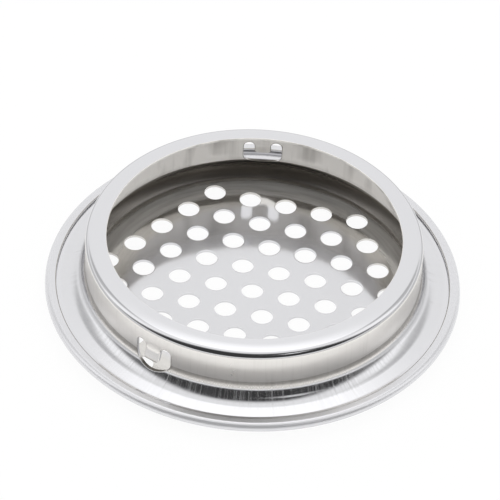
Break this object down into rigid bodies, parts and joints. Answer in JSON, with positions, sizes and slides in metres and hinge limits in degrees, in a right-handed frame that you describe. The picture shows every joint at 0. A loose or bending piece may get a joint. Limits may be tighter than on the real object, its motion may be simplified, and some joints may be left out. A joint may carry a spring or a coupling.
{
  "type": "round vent cover",
  "caption": "Round steel vent cover: a perforated face plate hemmed over a drawn collar whose lanced spring tongues hold it in a panel's cut-out.",
  "frame": {"origin": "Middle of the outside of the perforated face, on which the cover lies.", "axes": "+Z is the axis of the collar, from the face towards the collar's lip. +X runs along one row of holes."},
  "size_m": [0.062, 0.062, 0.0116],
  "materials": {
    "bright_plate": "polished",
    "drawn_collar": "satin"
  },
  "bodies": {
    "root": {"face_plate": "bright_plate", "collar_ring": "drawn_collar"}
  },
  "joints": []
}
